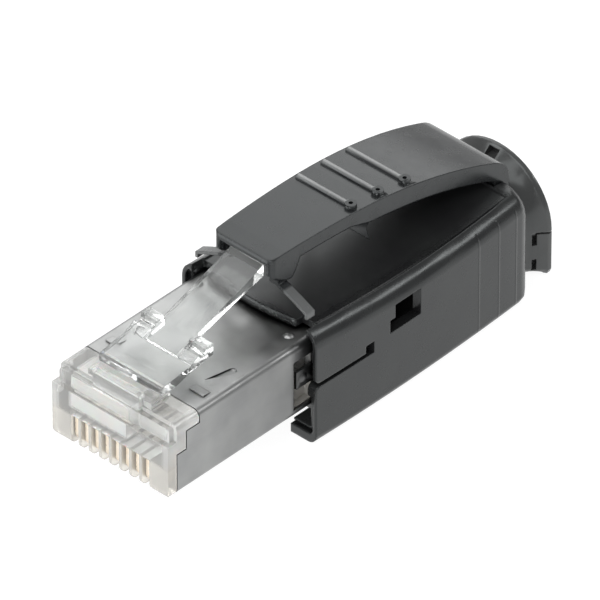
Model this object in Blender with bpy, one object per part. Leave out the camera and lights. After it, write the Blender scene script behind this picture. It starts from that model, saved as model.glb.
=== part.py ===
"""Shielded field termination ethernet plug with its latch hood, modelled in metres with +Z up.

The nose of the plug points along -Y and the cable end along +Y. Z = 0 is the underside of the hood and
of its rear collar. Lengths are first taken from the nose's front face and heights from the plug's
underside, as such plugs are drawn, and at() moves them to the part's own origin, which is the middle of
the underside of its bounding box.
"""

import math

import bmesh
import bpy
from mathutils import Matrix, Vector

MM = 0.001

# Clearances between pieces
SLIDE_GAP = 0.06 * MM
SEAT_GAP = 0.10 * MM
JOINT_GAP = 0.12 * MM
CUT_MARGIN = 2.0 * MM

# Plug face, the size that every jack expects
PLUG_WIDTH = 11.68 * MM
PLUG_HEIGHT = 6.4 * MM
PLUG_LIFT = 2.85 * MM
NOSE_LIP_DEPTH = 0.95 * MM
NOSE_LIP_HEIGHT = PLUG_HEIGHT - 1.5 * MM
NOSE_EDGE_ROUND = 0.22 * MM
NOSE_FOOT_RADIUS = 0.6 * MM

# Raised bar on the nose, and the root that the latch springs from
BAR_HALF_WIDTH = 2.35 * MM
BAR_FRONT = 0.65 * MM
BAR_REAR = 1.3 * MM
BAR_TOP = PLUG_HEIGHT + 1.05 * MM
ROOT_HALF_WIDTH = 3.2 * MM
ROOT_REAR = 3.1 * MM
ROOT_TOP = PLUG_HEIGHT + 0.5 * MM

# Contacts and the slots they stand in
CONTACT_COUNT = 8
CONTACT_PITCH = 1.02 * MM
CONTACT_THICKNESS = 0.42 * MM
CONTACT_RECESS = 0.3 * MM
CONTACT_LENGTH = 4.6 * MM
CONTACT_HEIGHT = PLUG_HEIGHT - 4.1 * MM
CONTACT_NOSE_RADIUS = 0.75 * MM
SLOT_WIDTH = 0.72 * MM
SLOT_HEIGHT = PLUG_HEIGHT - 3.65 * MM

# Milky load bar that holds the wires, and the cavity it slides into
LOAD_BAR_WIDTH = 9.0 * MM
LOAD_BAR_LENGTH = 6.9 * MM
LOAD_BAR_HEIGHT = 2.5 * MM
LOAD_BAR_FRONT = 1.15 * MM
TONGUE_LENGTH = 2.8 * MM
TONGUE_RIGHT = 1.1 * MM
WIRE_HOLE_RADIUS = 0.3 * MM
CAVITY_FLOOR = PLUG_HEIGHT - 3.45 * MM

# Folded metal shield
SHEET = 0.25 * MM
SHIELD_CORNER = 0.6 * MM
SHIELD_FRONT_LOW = 1.0 * MM
SHIELD_FRONT_MIDDLE = 2.0 * MM
SHIELD_FRONT_TOP = 3.4 * MM
SHIELD_STEP_LOW = PLUG_HEIGHT - 2.65 * MM
SHIELD_STEP_HIGH = PLUG_HEIGHT - 1.0 * MM
SHIELD_BOX_LENGTH = 16.2 * MM
SHIELD_BOX_REAR = SHIELD_FRONT_LOW + SHIELD_BOX_LENGTH
NECK_HALF_WIDTH = 4.9 * MM
NECK_BOTTOM = 0.6 * MM
NECK_TOP = PLUG_HEIGHT - 0.9 * MM
NECK_REAR = SHIELD_BOX_REAR + 2.2 * MM
BARREL_FRONT = NECK_REAR + 1.8 * MM
BARREL_LENGTH = 7.0 * MM
BARREL_REAR = BARREL_FRONT + BARREL_LENGTH
BARREL_RADIUS = (NECK_TOP - NECK_BOTTOM) / 2 + 0.05 * MM
BARREL_SLIT = 0.5 * MM
SIDE_WINDOW_LENGTH = 2.05 * MM
SIDE_WINDOW_TOP = PLUG_HEIGHT - 1.3 * MM
SIDE_WINDOW_BOTTOM = 0.7 * MM
SPRING_TOP = PLUG_HEIGHT - 2.35 * MM
SPRING_BOTTOM = 2.5 * MM
SPRING_SETBACK = 0.3 * MM
DOME_RADIUS = 0.42 * MM
DOME_HEIGHT = 0.2 * MM
DOME_INSET = 1.38 * MM
COIN_FRONT = 6.3 * MM
COIN_REAR = 8.5 * MM
COIN_FRONT_X = 3.55 * MM
COIN_REAR_X = 4.3 * MM
COIN_RADIUS = 0.32 * MM
COIN_DEPTH = 0.12 * MM
TAB_FRONT = 4.75 * MM
TAB_LENGTH = 0.75 * MM
TAB_INNER = 3.5 * MM
TAB_OUTER = 4.9 * MM
TAB_HEIGHT = 0.14 * MM
FERRULE_WALL = 0.35 * MM
FERRULE_LENGTH = 4.6 * MM

# Latch: a wide foot with two locking shoulders and a thin tail
LATCH_HALF_WIDTH = 3.15 * MM
LATCH_FRONT = 2.2 * MM
LATCH_FOOT_REAR = 5.6 * MM
LATCH_FOOT_TOP = PLUG_HEIGHT + 1.3 * MM
LATCH_FOOT_THICKNESS = 0.6 * MM
LATCH_FOOT_SLOPE = 0.12
TAIL_FRONT = 5.0 * MM
TAIL_REAR = 14.6 * MM
TAIL_SLOPE = 0.34
TAIL_FRONT_THICKNESS = 0.5 * MM
TAIL_REAR_THICKNESS = 1.0 * MM
TAIL_HALF_WIDTH = 1.65 * MM
SHOULDER_FRONT = 4.95 * MM
SHOULDER_STEP = 6.3 * MM
SHOULDER_REAR = 7.6 * MM
SHOULDER_RISE = 0.35 * MM
SHOULDER_NOTCH = 0.3 * MM

# Hood: a thin moulded shell with a smooth roof, open at the front and slotted below
HOOD_FRONT = 14.77 * MM
HOOD_LENGTH = 22.6 * MM
HOOD_REAR = HOOD_FRONT + HOOD_LENGTH
HOOD_WALL = 0.85 * MM
HOOD_FRONT_HALF_WIDTH = PLUG_WIDTH / 2 + SLIDE_GAP + HOOD_WALL
HOOD_WAIST_HALF_WIDTH = HOOD_FRONT_HALF_WIDTH + 0.11 * MM
HOOD_REAR_HALF_WIDTH = HOOD_FRONT_HALF_WIDTH - 0.33 * MM
HOOD_FRONT_TOP = PLUG_LIFT + PLUG_HEIGHT + 1.05 * MM
HOOD_WAIST_TOP = HOOD_FRONT_TOP - 0.55 * MM
HOOD_REAR_TOP = HOOD_FRONT_TOP - 0.3 * MM
HOOD_FLOOR = 1.1 * MM
HOOD_ROOF = 0.6 * MM
ROOF_RECESS = 0.15 * MM
ROOF_BOW = 0.7 * MM
ROOF_EDGE_RADIUS = 0.34 * MM
HOOD_TOP_RADIUS = 1.45 * MM
HOOD_BOTTOM_RADIUS = 0.8 * MM
HOOD_CURL = 1.2 * MM
SHOULDER_LENGTH = 1.5 * MM
FLOOR_SLOT_HALF_WIDTH = 4.2 * MM
RAIL_SKIN = 0.34 * MM
RAIL_GROOVE = 0.16 * MM
RAIL_GROOVE_DEPTH = 0.7 * MM
RAIL_SETBACK = 0.35 * MM
RAIL_TOP = PLUG_LIFT + PLUG_HEIGHT / 2 - 1.75 * MM
LIP_DEPTH = 0.6 * MM
SIDE_SLIT_HEIGHT = PLUG_LIFT + PLUG_HEIGHT / 2 - 0.77 * MM
SIDE_SLIT_WIDTH = 0.38 * MM
SIDE_SLIT_REAR = HOOD_FRONT + 6.13 * MM
JAW_CORNER = 0.4 * MM
SLIT_END_LENGTH = 0.9 * MM
SLIT_END_HEIGHT = 1.05 * MM
WINDOW_FRONT = HOOD_FRONT + 8.38 * MM
WINDOW_LENGTH = 2.8 * MM
WINDOW_BOTTOM = PLUG_LIFT + PLUG_HEIGHT / 2
WINDOW_HEIGHT = 2.35 * MM
WINDOW_STEP_LENGTH = 0.55 * MM
WINDOW_STEP_HEIGHT = 1.2 * MM
LEDGE_WIDTH = 0.9 * MM
LEDGE_HEIGHT = 0.5 * MM
LEDGE_FRONT = HOOD_FRONT + 0.83 * MM
LEDGE_LENGTH = 3.2 * MM
FOOT_POCKET_INNER = 4.3 * MM
FOOT_POCKET_OUTER = 5.75 * MM
FOOT_POCKET_LENGTH = 1.2 * MM

# Press lever: a long bow that is hinged at the rear and covers the latch's tail
LEVER_OVERHANG = 0.67 * MM
LEVER_FRONT = HOOD_FRONT - LEVER_OVERHANG
LEVER_FRONT_HALF_WIDTH = 2.87 * MM
LEVER_REAR_HALF_WIDTH = 3.72 * MM
LEVER_CORNER = 0.4 * MM
LEVER_TOP = PLUG_HEIGHT + 6.12 * MM
LEVER_CREST = 2.9 * MM
LEVER_DROOP = 0.09 * MM
LEVER_FALL = 3.42 * MM
LEVER_FALL_POWER = 2.5
LEVER_THIN = 1.15 * MM
LEVER_THICK = 1.62 * MM
LEVER_THIN_LENGTH = 8.2 * MM
LEVER_STEP_LENGTH = 2.1 * MM
LEVER_LIP_DEPTH = 0.8 * MM
LEVER_LIP_HEIGHT = 0.75 * MM
LEVER_LEG_REAR = HOOD_REAR + SHOULDER_LENGTH + 0.08 * MM
LEVER_LEG_THICKNESS = 1.6 * MM
LEVER_LEG_BOTTOM = PLUG_HEIGHT - 0.65 * MM
LEVER_LEG_CORNER = 0.35 * MM
HEEL_LENGTH = 1.65 * MM
LEVER_FALL_LENGTH = LEVER_LEG_REAR - HEEL_LENGTH - LEVER_FRONT - LEVER_CREST
HEEL_HEIGHT = 1.9 * MM
CROOK_HEIGHT = PLUG_HEIGHT + 0.95 * MM
EAR_LENGTH = 3.0 * MM
EAR_DEPTH = 2.55 * MM
EAR_THICKNESS = 0.5 * MM
WING_FRONT = HOOD_FRONT + 0.23 * MM
WING_DEPTH = 0.85 * MM
WING_THICKNESS = 0.26 * MM
WING_TOP = PLUG_HEIGHT + 4.31 * MM
WING_REACH = 5.62 * MM
WING_FALL = 2.18 * MM
WING_BEND = 0.3
FOOT_BOTTOM = PLUG_HEIGHT + 1.65 * MM
WEB_WIDTH = 0.9 * MM
WEB_INSET = 0.12 * MM
BARB_FRONT = 7.8 * MM
BARB_LENGTH = 2.65 * MM
BARB_DROP = 3.5 * MM
BARB_INSET = 0.2 * MM
BARB_THICKNESS = 0.5 * MM
GRIP_RIB_COUNT = 3
GRIP_RIB_FIRST = 9.0 * MM
GRIP_RIB_PITCH = 2.8 * MM
GRIP_RIB_RADIUS = 0.3 * MM
GRIP_KNOB_RADIUS = 0.46 * MM
GRIP_KNOB_HEIGHT = 0.34 * MM
GRIP_KNOB_INSET = 0.75 * MM
GRIP_KNOB_HOLE = 0.17 * MM
PIVOT_Y = LEVER_LEG_REAR - 1.3 * MM
PIVOT_Z = LEVER_LEG_BOTTOM + 0.5 * MM
PIVOT_RADIUS = 0.38 * MM
PIVOT_REACH = 0.5 * MM

# Bell-mouthed collar where the cable leaves, with its parting lines and notches
COLLAR_LENGTH = 3.13 * MM
COLLAR_REAR = HOOD_REAR + SHOULDER_LENGTH + COLLAR_LENGTH
COLLAR_RIM_THICKNESS = 0.5 * MM
COLLAR_CENTRE = (PLUG_LIFT + PLUG_HEIGHT) * 0.4443
COLLAR_RIM_RADIUS = COLLAR_CENTRE + 1.26 * MM
COLLAR_FOOT_CORNER = 0.5 * MM
FLARE_POWER = 2.6
COLLAR_THROAT_RADIUS = COLLAR_CENTRE + 0.14 * MM
COLLAR_BORE_RADIUS = COLLAR_CENTRE - 0.81 * MM
COLLAR_MOUTH_RADIUS = COLLAR_CENTRE + 0.19 * MM
PARTING_HEIGHT = 3.9 * MM
PARTING_WIDTH = 0.16 * MM
NOTCH_WIDTH = 1.0 * MM
NOTCH_DEPTH = 0.45 * MM
NOTCH_DROP = 2.3 * MM
SPIGOT_RADIUS = COLLAR_CENTRE - 0.26 * MM
SPIGOT_LENGTH = 1.3 * MM

ARC_STEPS = 5
ROUND_STEPS = 32
ORIGIN_Y = COLLAR_REAR / 2
HALF_PLUG = PLUG_WIDTH / 2
SIDE_WINDOW_FRONT = HOOD_FRONT - 1.42 * MM
SIDE_POCKET_DEPTH = 0.6 * MM
LATCH_ROOT_Y = LATCH_FRONT + LATCH_FOOT_THICKNESS / 6
LATCH_ROOT_Z = LATCH_FOOT_TOP - 2 * LATCH_FOOT_THICKNESS / 3


def at(x, y, z):
    """A point given from the nose's face and the hood's underside, in the part's own frame."""
    return Vector((x, y - ORIGIN_Y, z))


def up(height):
    """A height above the plug's underside as a height above the hood's underside."""
    return height + PLUG_LIFT


def clear_scene():
    for old in list(bpy.data.objects):
        bpy.data.objects.remove(old, do_unlink=True)


def make_material(name, colour, roughness, metallic=0.0, transmission=0.0):
    material = bpy.data.materials.new(name)
    material.use_nodes = True
    shader = material.node_tree.nodes["Principled BSDF"]
    shader.inputs["Base Color"].default_value = (*colour, 1.0)
    shader.inputs["Roughness"].default_value = roughness
    shader.inputs["Metallic"].default_value = metallic
    shader.inputs["Transmission Weight"].default_value = transmission
    material.diffuse_color = (*colour, 1.0)
    return material


def add_object(name, shape, material=None, smooth_angle=35.0):
    """Closes a bmesh into a named object with its faces pointing out."""
    bmesh.ops.recalc_face_normals(shape, faces=shape.faces)
    mesh = bpy.data.meshes.new(name)
    shape.to_mesh(mesh)
    shape.free()
    mesh.shade_smooth()
    mesh.set_sharp_from_angle(angle=math.radians(smooth_angle))
    made = bpy.data.objects.new(name, mesh)
    bpy.context.scene.collection.objects.link(made)
    if material:
        mesh.materials.append(material)
    return made


def as_tool(helper):
    """Marks an object as a guide for a Boolean and not a piece of the plug."""
    helper.hide_render = True
    helper.display_type = "WIRE"
    return helper


def combine(body, tool, operation):
    modifier = body.modifiers.new(tool.name, "BOOLEAN")
    modifier.operation = operation
    modifier.object = as_tool(tool)
    modifier.solver = "EXACT"


def cut(body, tool):
    combine(body, tool, "DIFFERENCE")


def join(body, tool):
    combine(body, tool, "UNION")


def skin(rings, wrap=False):
    """A bmesh through rings of points, capped at both ends or wrapped round to the first ring."""
    shape = bmesh.new()
    loops = [[shape.verts.new(point) for point in ring] for ring in rings]
    following = loops[1:] + loops[:1] if wrap else loops[1:]
    for ring, after in zip(loops, following):
        for i in range(len(ring)):
            j = (i + 1) % len(ring)
            shape.faces.new((ring[i], ring[j], after[j], after[i]))
    if not wrap:
        shape.faces.new(loops[0])
        shape.faces.new(loops[-1])
    return shape


def prism_x(outline, low, high):
    """An outline of (y, z) points drawn out along X."""
    return skin([[at(x, y, z) for y, z in outline] for x in (low, high)])


def prism_y(outline, low, high):
    """An outline of (x, z) points drawn out along Y."""
    return skin([[at(x, y, z) for x, z in outline] for y in (low, high)])


def prism_z(outline, low, high):
    """An outline of (x, y) points drawn out along Z."""
    return skin([[at(x, y, z) for x, y in outline] for z in (low, high)])


def box(low, high):
    outline = ((low[1], low[2]), (high[1], low[2]), (high[1], high[2]), (low[1], high[2]))
    return prism_x(outline, low[0], high[0])


def arc(centre, radius, start, end, steps=ARC_STEPS):
    """Points on an arc, from one angle to another in degrees."""
    turn = [math.radians(start + (end - start) * i / steps) for i in range(steps + 1)]
    return [(centre[0] + radius * math.cos(a), centre[1] + radius * math.sin(a)) for a in turn]


def rounded_box(half_width, bottom, top, low_radius, high_radius, steps=ARC_STEPS):
    """The outline of a box with rounded corners, as (x, z) points from its lower right corner."""
    side = half_width - low_radius
    head = half_width - high_radius
    points = arc((side, bottom + low_radius), low_radius, -90, 0, steps)
    points += arc((head, top - high_radius), high_radius, 0, 90, steps)
    points += arc((-head, top - high_radius), high_radius, 90, 180, steps)
    points += arc((-side, bottom + low_radius), low_radius, 180, 270, steps)
    return points


def cylinder_x(centre, radius, low, high, steps=ROUND_STEPS):
    """A cylinder along X about a (y, z) centre."""
    return prism_x(arc(centre, radius, 0, 360 - 360 / steps, steps - 1), low, high)


def cylinder_y(centre, radius, low, high, steps=ROUND_STEPS):
    """A cylinder along Y about an (x, z) centre."""
    return prism_y(arc(centre, radius, 0, 360 - 360 / steps, steps - 1), low, high)


def soften(shape, width, segments=2):
    """Rounds every edge of a bmesh that turns by more than 40 degrees."""
    sharp = [e for e in shape.edges if e.calc_face_angle(0.0) > math.radians(40)]
    bmesh.ops.bevel(shape, geom=sharp, offset=width, segments=segments, affect="EDGES", profile=0.5)
    return shape


def gather(shapes):
    """Several closed shapes that stand apart, as one bmesh."""
    whole = bmesh.new()
    for shape in shapes:
        piece = bpy.data.meshes.new("piece")
        shape.to_mesh(piece)
        shape.free()
        whole.from_mesh(piece)
        bpy.data.meshes.remove(piece)
    return whole


def hang_on_joint(piece, name, y, height):
    """Parents a moving piece to an empty on its joint's axis, and leaves the piece where it is."""
    axis = bpy.data.objects.new(name, None)
    bpy.context.scene.collection.objects.link(axis)
    axis.location = at(0.0, y, up(height))
    piece.parent = axis
    piece.matrix_parent_inverse = Matrix.Translation(-axis.location)


def contact_places():
    middle = (CONTACT_COUNT - 1) / 2
    return [(i - middle) * CONTACT_PITCH for i in range(CONTACT_COUNT)]


def cavity_half_width():
    return LOAD_BAR_WIDTH / 2 + SEAT_GAP


def core_rear():
    return SHIELD_BOX_REAR - SHIELD_CORNER - SHEET


def make_plug_housing(material):
    """The clear housing: a full-width nose, and a core that the shield wraps."""
    inset = SHEET + SLIDE_GAP
    radius = SHIELD_CORNER - inset
    section = rounded_box(HALF_PLUG - inset, up(inset), up(PLUG_HEIGHT - inset), radius, radius)
    core = prism_y(section, NOSE_LIP_DEPTH / 2, core_rear())
    housing = add_object("plug_housing", core, material)
    low, middle, top = (
        front - SLIDE_GAP for front in (SHIELD_FRONT_LOW, SHIELD_FRONT_MIDDLE, SHIELD_FRONT_TOP)
    )
    nose_outline = [
        (0.0, up(NOSE_LIP_HEIGHT)),
        (NOSE_LIP_DEPTH, up(NOSE_LIP_HEIGHT)),
        (NOSE_LIP_DEPTH, up(PLUG_HEIGHT)),
        (top, up(PLUG_HEIGHT)),
        (top, up(SHIELD_STEP_HIGH)),
        (middle, up(SHIELD_STEP_HIGH)),
        (middle, up(SHIELD_STEP_LOW)),
        (low, up(SHIELD_STEP_LOW)),
        (low, up(0.0)),
    ]
    foot_centre = (NOSE_FOOT_RADIUS, up(NOSE_FOOT_RADIUS))
    nose_outline += arc(foot_centre, NOSE_FOOT_RADIUS, 270, 180, 4)
    nose = add_object("housing_nose", soften(prism_x(nose_outline, -HALF_PLUG, HALF_PLUG), NOSE_EDGE_ROUND))
    section = rounded_box(HALF_PLUG, up(0.0), up(PLUG_HEIGHT), SHIELD_CORNER, SHIELD_CORNER)
    envelope = add_object("nose_section", prism_y(section, -CUT_MARGIN, SHIELD_FRONT_TOP + CUT_MARGIN))
    combine(nose, envelope, "INTERSECT")
    join(housing, nose)
    bar = box(
        (-BAR_HALF_WIDTH, BAR_FRONT, up(PLUG_HEIGHT / 2)),
        (BAR_HALF_WIDTH, BAR_REAR, up(BAR_TOP)),
    )
    join(housing, add_object("housing_bar", soften(bar, NOSE_EDGE_ROUND / 2)))
    root = box(
        (-ROOT_HALF_WIDTH, BAR_REAR - NOSE_EDGE_ROUND, up(PLUG_HEIGHT / 2)),
        (ROOT_HALF_WIDTH, ROOT_REAR, up(ROOT_TOP)),
    )
    join(housing, add_object("housing_root", root))
    slots = [
        box(
            (x - SLOT_WIDTH / 2, -CUT_MARGIN, up(-CUT_MARGIN)),
            (x + SLOT_WIDTH / 2, CONTACT_RECESS + CONTACT_LENGTH + SEAT_GAP, up(SLOT_HEIGHT)),
        )
        for x in contact_places()
    ]
    cut(housing, add_object("contact_slots", gather(slots)))
    cavity_top = up(CAVITY_FLOOR + LOAD_BAR_HEIGHT + 2 * SEAT_GAP)
    tongue_rear = LOAD_BAR_FRONT + TONGUE_LENGTH
    cavity = box(
        (-cavity_half_width(), tongue_rear - SEAT_GAP, up(CAVITY_FLOOR)),
        (cavity_half_width(), core_rear() + CUT_MARGIN, cavity_top),
    )
    cut(housing, add_object("wire_cavity", cavity))
    tongue_cavity = box(
        (-cavity_half_width(), LOAD_BAR_FRONT - SEAT_GAP, up(CAVITY_FLOOR)),
        (TONGUE_RIGHT + SEAT_GAP, tongue_rear + SEAT_GAP, cavity_top),
    )
    cut(housing, add_object("tongue_cavity", tongue_cavity))
    for side in (-1, 1):
        ends = sorted((side * (HALF_PLUG - inset - SIDE_POCKET_DEPTH), side * (HALF_PLUG + CUT_MARGIN)))
        pocket = box(
            (ends[0], SIDE_WINDOW_FRONT - SEAT_GAP, up(SIDE_WINDOW_BOTTOM)),
            (ends[1], SIDE_WINDOW_FRONT + SIDE_WINDOW_LENGTH + SEAT_GAP, up(SIDE_WINDOW_TOP)),
        )
        cut(housing, add_object("side_pocket", pocket))
    return housing


def make_load_bar(material):
    """The milky bar: a tongue on the left of the nose, and a full-width rear with staggered wire holes."""
    bottom = up(CAVITY_FLOOR + SEAT_GAP)
    top = bottom + LOAD_BAR_HEIGHT
    left = -LOAD_BAR_WIDTH / 2
    tongue_rear = LOAD_BAR_FRONT + TONGUE_LENGTH
    rear = LOAD_BAR_FRONT + LOAD_BAR_LENGTH
    outline = (
        (left, LOAD_BAR_FRONT),
        (TONGUE_RIGHT, LOAD_BAR_FRONT),
        (TONGUE_RIGHT, tongue_rear),
        (-left, tongue_rear),
        (-left, rear),
        (left, rear),
    )
    bar = add_object("load_bar", soften(prism_z(outline, bottom, top), NOSE_EDGE_ROUND / 2), material)
    rows = (bottom + LOAD_BAR_HEIGHT * 0.32, bottom + LOAD_BAR_HEIGHT * 0.68)
    holes = [
        cylinder_y((x, rows[i % 2]), WIRE_HOLE_RADIUS, tongue_rear + SEAT_GAP * 2, rear + CUT_MARGIN, 10)
        for i, x in enumerate(contact_places())
    ]
    cut(bar, add_object("wire_holes", gather(holes)))
    return bar


def make_contacts(material):
    """Eight gold blades with a rounded lower front corner and two piercing teeth."""
    front = CONTACT_RECESS
    rear = CONTACT_RECESS + CONTACT_LENGTH
    bottom = up(CONTACT_RECESS)
    top = bottom + CONTACT_HEIGHT
    centre = (front + CONTACT_NOSE_RADIUS, bottom + CONTACT_NOSE_RADIUS)
    corner = arc(centre, CONTACT_NOSE_RADIUS, 180, 270, 6)
    tooth = CONTACT_LENGTH / 6
    notch = top - CONTACT_HEIGHT / 4
    outline = [(front, top), *corner, (rear, bottom), (rear, notch)]
    for i in (4, 2):
        outline += [
            (front + (i + 1) * tooth, notch),
            (front + (i + 0.5) * tooth, top - SEAT_GAP / 2),
            (front + i * tooth, notch),
        ]
    outline += [(front + tooth, notch), (front + tooth, top)]
    made = []
    for i, x in enumerate(contact_places()):
        blade = prism_x(outline, x - CONTACT_THICKNESS / 2, x + CONTACT_THICKNESS / 2)
        made.append(add_object(f"contact_{i + 1}", blade, material))
    return made


def shield_rings(inset):
    """Rings of the shield from its front to the end of its barrel, drawn in by the sheet for its inside."""
    corner = SHIELD_CORNER - inset

    def boxy(y, half_width, low, high, radius):
        outline = rounded_box(half_width - inset, up(low + inset), up(high - inset), radius, radius)
        return [at(x, y, z) for x, z in outline]

    rear = SHIELD_BOX_REAR - inset
    middle = up((NECK_BOTTOM + NECK_TOP) / 2)
    barrel = BARREL_RADIUS - inset
    tube = rounded_box(barrel, middle - barrel, middle + barrel, barrel, barrel)
    rings = [
        boxy(SHIELD_FRONT_LOW, HALF_PLUG, 0.0, PLUG_HEIGHT, corner),
        boxy(rear - SHIELD_CORNER, HALF_PLUG, 0.0, PLUG_HEIGHT, corner),
        boxy(rear, HALF_PLUG - SHIELD_CORNER, SHIELD_CORNER / 2, PLUG_HEIGHT - SHIELD_CORNER / 2, corner),
        boxy(rear, NECK_HALF_WIDTH, NECK_BOTTOM, NECK_TOP, corner),
        boxy(NECK_REAR, NECK_HALF_WIDTH, NECK_BOTTOM, NECK_TOP, corner),
    ]
    rings += [[at(x, y, z) for x, z in tube] for y in (BARREL_FRONT, BARREL_REAR)]
    return rings


def dome(place, along, across, out):
    """A shallow round bump on a sheet: along and across lie in the sheet, and out points away from it."""
    sunk = -SHEET / 2 / DOME_HEIGHT
    rings = []
    for share, lift in ((1.0, sunk), (1.0, 0.0), (0.85, 0.45), (0.6, 0.78), (0.25, 1.0)):
        centre = place + lift * DOME_HEIGHT * out
        circle = arc((0.0, 0.0), share * DOME_RADIUS, 0, 360 - 360 / ROUND_STEPS, ROUND_STEPS - 1)
        rings.append([centre + a * along + b * across for a, b in circle])
    return skin(rings)


def add_side_spring(shield, side):
    """A contact spring with a dome, freed on three sides by a slot through the shield's side."""
    front = SIDE_WINDOW_FRONT
    rear = SIDE_WINDOW_FRONT + SIDE_WINDOW_LENGTH
    tip = front + SPRING_SETBACK
    outline = (
        (front, up(SIDE_WINDOW_BOTTOM)),
        (rear, up(SIDE_WINDOW_BOTTOM)),
        (rear, up(SPRING_BOTTOM)),
        (tip, up(SPRING_BOTTOM)),
        (tip, up(SPRING_TOP)),
        (rear, up(SPRING_TOP)),
        (rear, up(SIDE_WINDOW_TOP)),
        (front, up(SIDE_WINDOW_TOP)),
    )
    ends = sorted((side * (HALF_PLUG - SHEET - SLIDE_GAP / 2), side * (HALF_PLUG + CUT_MARGIN)))
    cut(shield, add_object("spring_slot", prism_x(outline, *ends)))
    y = HOOD_FRONT - DOME_RADIUS - SLIDE_GAP
    place = at(side * HALF_PLUG, y, up((SPRING_TOP + SPRING_BOTTOM) / 2))
    bump = dome(place, Vector((0, 1, 0)), Vector((0, 0, 1)), Vector((side, 0, 0)))
    join(shield, add_object("side_dome", bump))


def add_top_marks(shield, side):
    """On top of the shield: a dome before the hood, a coined drop and a small raised tab near the nose."""
    top = up(PLUG_HEIGHT)
    place = at(side * (HALF_PLUG - DOME_INSET), HOOD_FRONT - DOME_RADIUS - SLIDE_GAP, top)
    bump = dome(place, Vector((1, 0, 0)), Vector((0, 1, 0)), Vector((0, 0, 1)))
    join(shield, add_object("top_dome", bump))
    heading = math.degrees(math.atan2(COIN_REAR - COIN_FRONT, COIN_REAR_X - COIN_FRONT_X))
    drop = [(COIN_FRONT_X, COIN_FRONT)]
    drop += arc((COIN_REAR_X, COIN_REAR), COIN_RADIUS, heading - 100, heading + 100, 10)
    outline = [(side * x, y) for x, y in drop]
    cut(shield, add_object("coined_drop", prism_z(outline, top - COIN_DEPTH, top + CUT_MARGIN)))
    tab_outline = (
        (TAB_FRONT, top - SHEET / 2),
        (TAB_FRONT, top + TAB_HEIGHT),
        (TAB_FRONT + TAB_LENGTH, top + TAB_HEIGHT / 4),
        (TAB_FRONT + TAB_LENGTH, top - SHEET / 2),
    )
    ends = sorted((side * TAB_INNER, side * TAB_OUTER))
    join(shield, add_object("raised_tab", prism_x(tab_outline, *ends)))


def make_shield(material):
    """The folded shield: a stepped box round the plug, a neck, and a slit barrel for the cable's braid."""
    outside = shield_rings(0.0)
    inside = shield_rings(SHEET)
    shield = add_object("shield", skin(outside + inside[::-1], wrap=True), material)
    reach = HALF_PLUG + CUT_MARGIN
    steps = (
        (SHIELD_FRONT_MIDDLE, SHIELD_STEP_LOW - SLIDE_GAP),
        (SHIELD_FRONT_TOP, SHIELD_STEP_HIGH - SLIDE_GAP),
    )
    for i, (front, height) in enumerate(steps):
        step = box((-reach, -CUT_MARGIN, up(height)), (reach, front, up(PLUG_HEIGHT + CUT_MARGIN)))
        cut(shield, add_object(f"shield_step_{i + 1}", step))
    for side in (-1, 1):
        add_side_spring(shield, side)
        add_top_marks(shield, side)
    slit = box(
        (-BARREL_SLIT / 2, BARREL_FRONT, up(NECK_TOP / 2)),
        (BARREL_SLIT / 2, BARREL_REAR + CUT_MARGIN, up(NECK_TOP + CUT_MARGIN)),
    )
    cut(shield, add_object("barrel_slit", slit))
    return shield


def make_crimp_ferrule(material):
    """The ring that is pressed over the shield's barrel."""
    centre = (0.0, up((NECK_BOTTOM + NECK_TOP) / 2))
    inner = BARREL_RADIUS + SEAT_GAP
    outer = inner + FERRULE_WALL
    front = BARREL_FRONT + (BARREL_REAR - BARREL_FRONT - FERRULE_LENGTH) / 2
    rear = front + FERRULE_LENGTH
    turn = 360 - 360 / ROUND_STEPS

    def ring(radius, y):
        return [at(x, y, z) for x, z in arc(centre, radius, 0, turn, ROUND_STEPS - 1)]

    rings = [ring(outer, front), ring(outer, rear), ring(inner, rear), ring(inner, front)]
    return add_object("crimp_ferrule", skin(rings, wrap=True), material)


def foot_top(y):
    return LATCH_FOOT_TOP + LATCH_FOOT_SLOPE * (y - LATCH_FRONT)


def tail_top(y):
    return foot_top(TAIL_FRONT) + TAIL_SLOPE * (y - TAIL_FRONT)


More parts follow.
